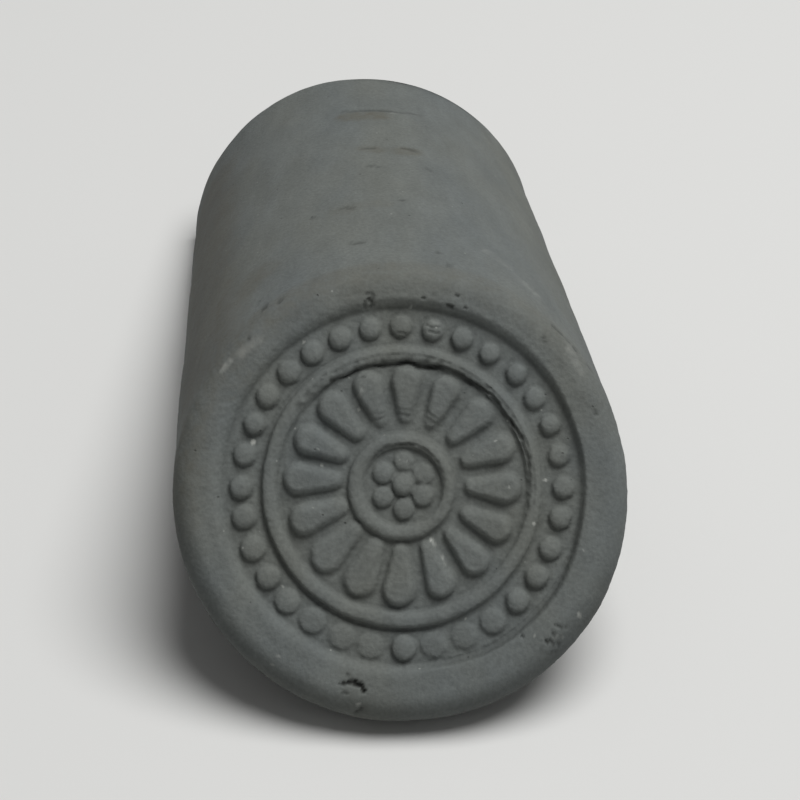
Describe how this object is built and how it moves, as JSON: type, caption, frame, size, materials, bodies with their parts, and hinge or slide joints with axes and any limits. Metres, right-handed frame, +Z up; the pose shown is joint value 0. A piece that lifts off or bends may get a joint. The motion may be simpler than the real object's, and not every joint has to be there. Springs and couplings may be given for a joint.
{
  "type": "ceramic roof tile",
  "caption": "Round-ended eave tile of grey fired clay: a half-round barrel that covers a roof seam, closed at its lower end by a leaning disc moulded with a flower in a ring of pearls.",
  "frame": {"origin": "on the ground under the middle of the tile's length, as it rests on the foot of its disc and the two rear corners of its barrel", "axes": "+Z up; the disc faces -Y and leans back; the barrel runs back along +Y and falls 12.9 degrees towards its rear; the left and right halves mirror each other across X"},
  "size_m": [0.13, 0.2678, 0.1019],
  "materials": {
    "fired_clay": "unglazed grey clay, dry and matte, with fine pits and wiping marks"
  },
  "bodies": {
    "root": {"eave_tile": "fired_clay"}
  },
  "joints": []
}
